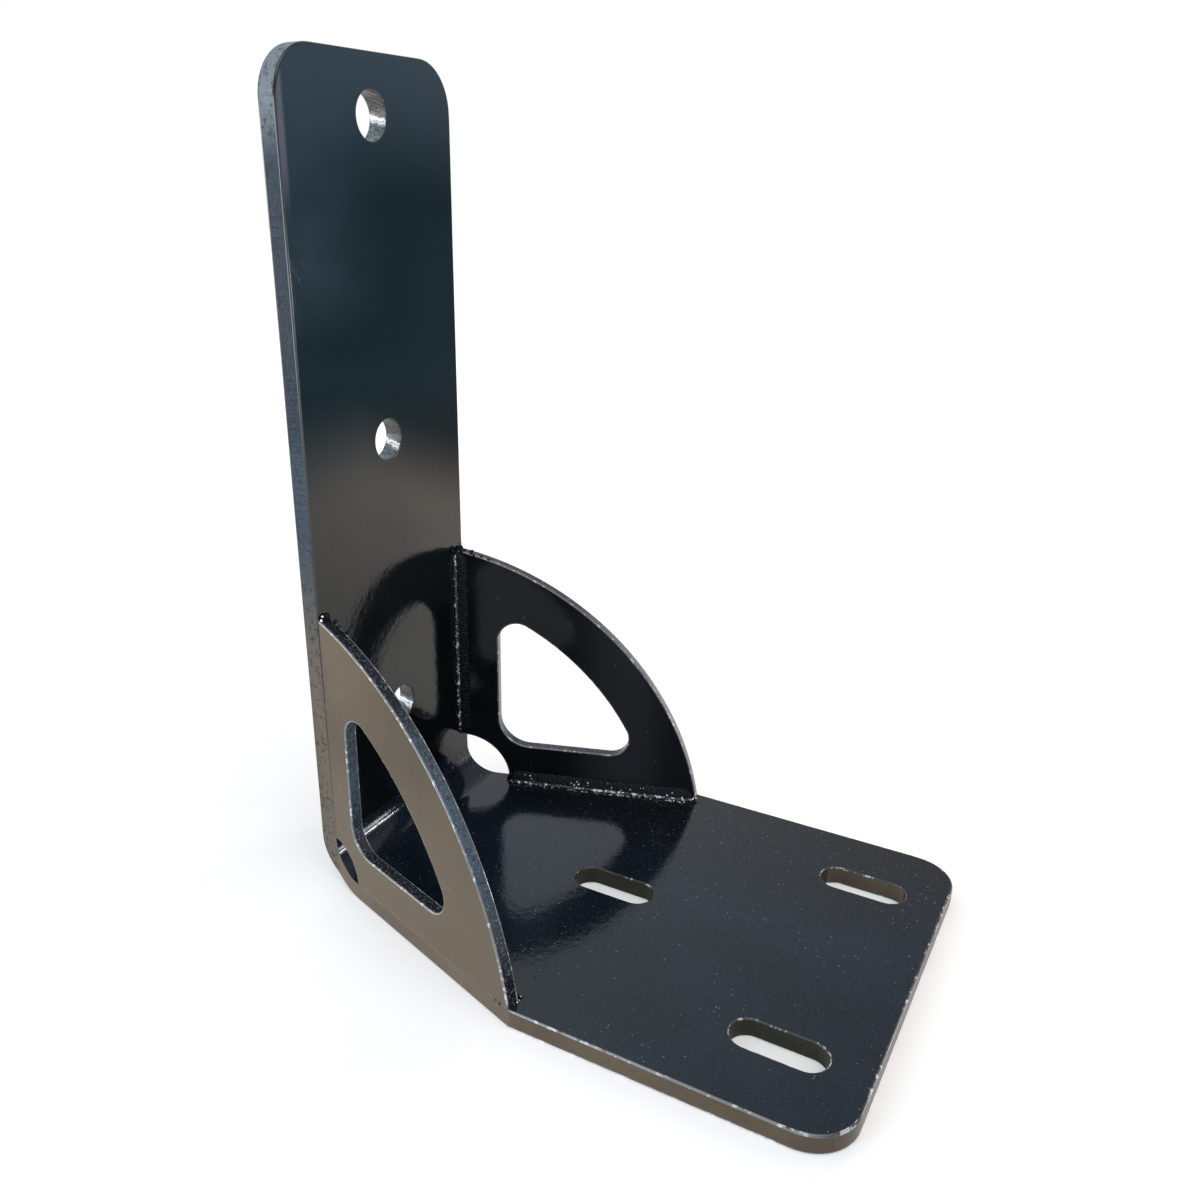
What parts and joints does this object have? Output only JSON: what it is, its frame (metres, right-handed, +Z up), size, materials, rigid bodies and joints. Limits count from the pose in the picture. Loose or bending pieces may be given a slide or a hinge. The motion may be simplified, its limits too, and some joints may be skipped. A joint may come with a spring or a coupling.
{
  "type": "awning bracket",
  "caption": "Welded steel awning bracket: a drilled upright folded into a flared, slotted base and stiffened by curved gussets with triangular windows.",
  "frame": {"origin": "on the underside of the base, under the middle of the bracket's bounding box", "axes": "+Z up along the upright; +Y towards the back face that lies on the wall; -Y along the projecting base; +X across, towards the right gusset"},
  "size_m": [0.13, 0.18, 0.245],
  "materials": {
    "plate_coat": "semi-gloss black powder coat",
    "gusset_coat": "semi-gloss black powder coat",
    "weld_coat": "semi-gloss black powder coat over a rippled weld"
  },
  "bodies": {
    "root": {"folded_plate": "plate_coat", "left_gusset": "gusset_coat", "right_gusset": "gusset_coat", "left_upright_weld": "weld_coat", "right_upright_weld": "weld_coat", "left_base_weld": "weld_coat", "right_base_weld": "weld_coat"}
  },
  "joints": []
}
